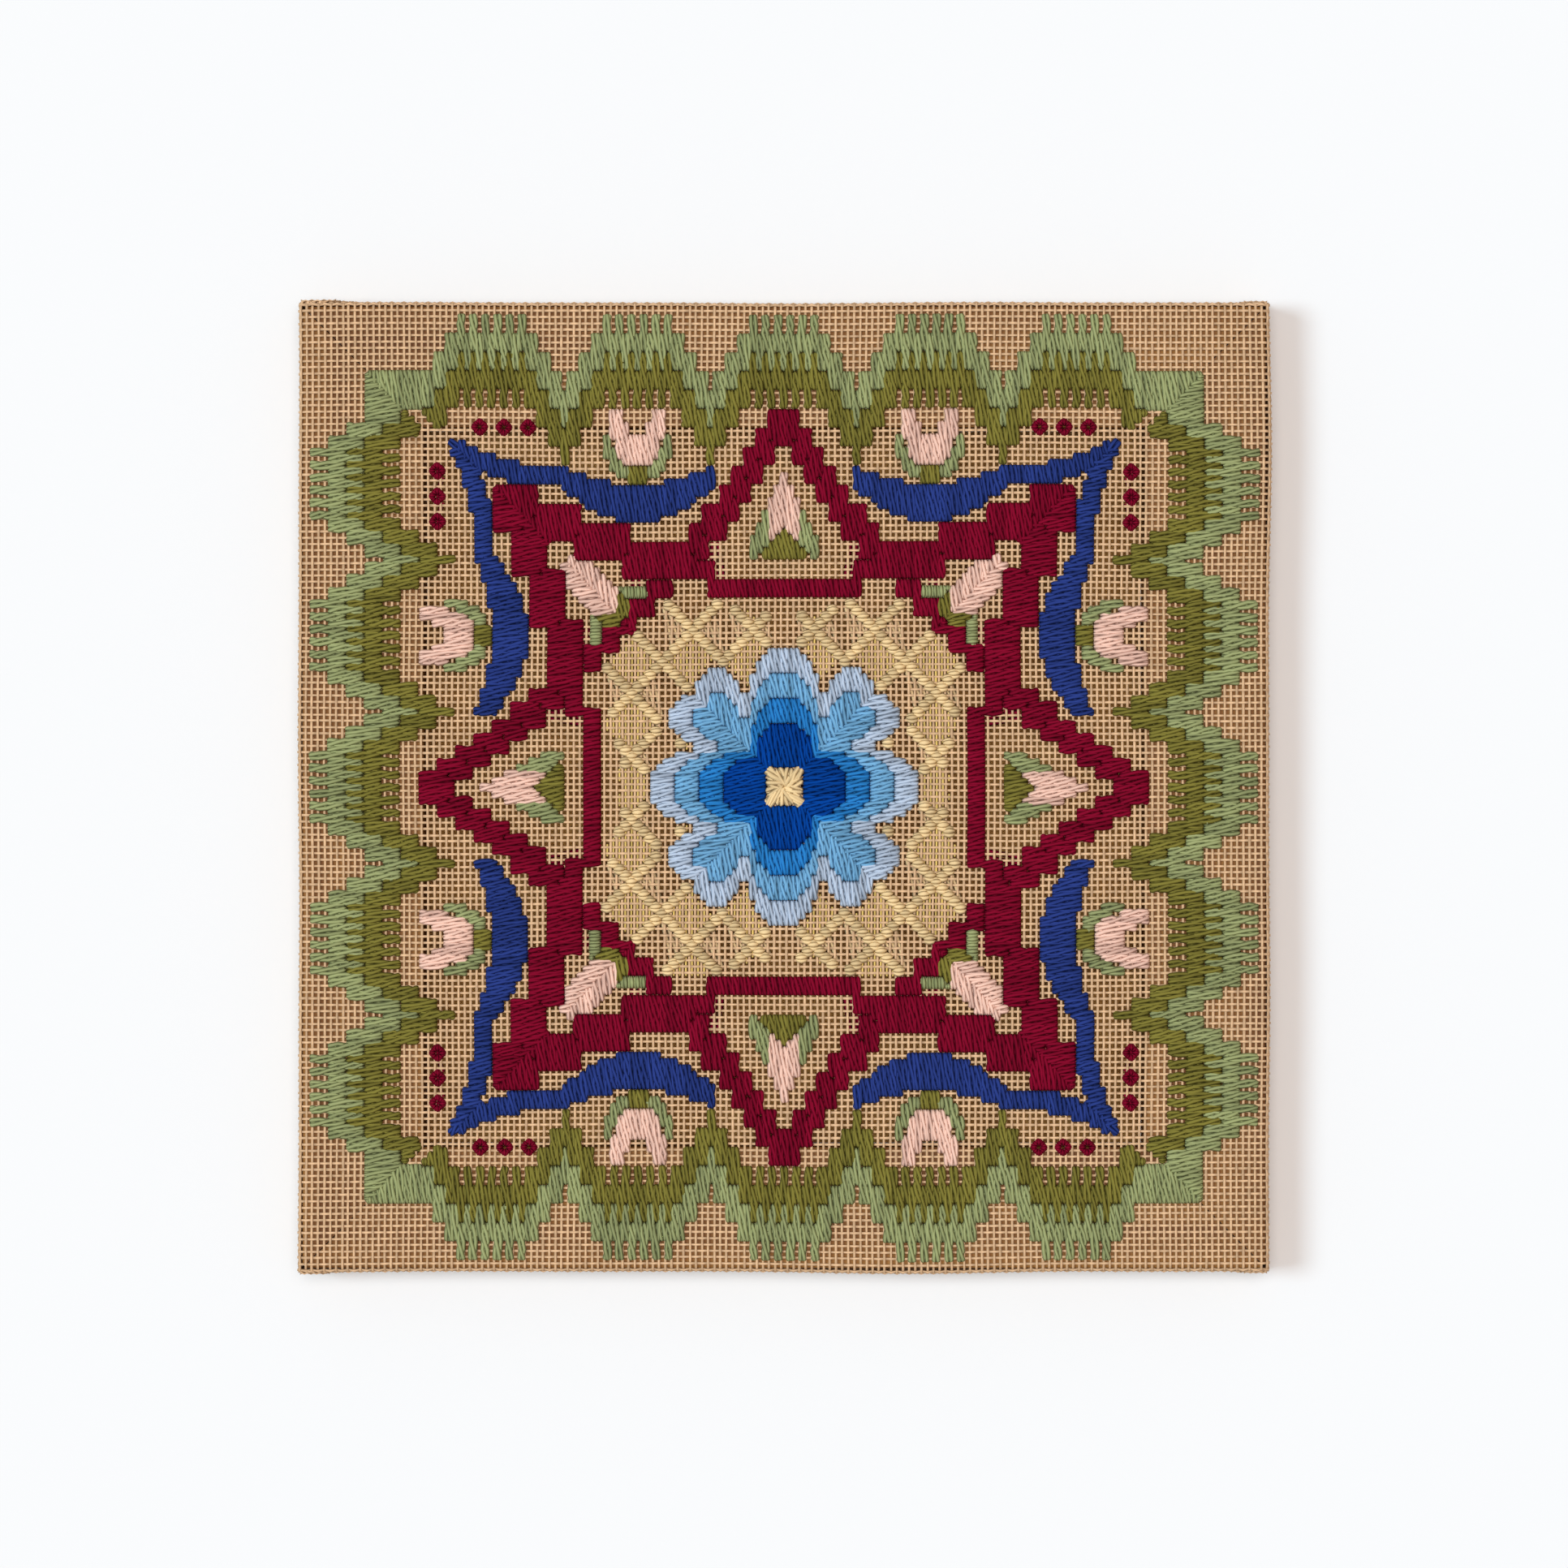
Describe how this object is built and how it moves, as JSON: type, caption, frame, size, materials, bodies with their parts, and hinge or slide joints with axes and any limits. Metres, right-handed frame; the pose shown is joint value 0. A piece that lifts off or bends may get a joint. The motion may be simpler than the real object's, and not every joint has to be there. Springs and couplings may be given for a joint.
{
  "type": "embroidered canvas panel on a stretcher frame",
  "caption": "Square needlepoint canvas with wool stitches, stretched over an open wooden frame and turned in on its back.",
  "frame": {"origin": "centre of the panel's back, on the plane of its back flaps", "axes": "+Z out of the embroidered face, +Y towards the panel's top edge, +X towards its right edge seen from the front"},
  "size_m": [0.3053, 0.3062, 0.021],
  "materials": {
    "canvas": "open plain weave of stiff cotton thread",
    "pine": "planed and unvarnished",
    "wool": "stranded wool in satin stitches of several colours"
  },
  "bodies": {
    "root": {"canvas": "canvas", "bar_top": "pine", "bar_bottom": "pine", "bar_left": "pine", "bar_right": "pine"}
  },
  "joints": []
}
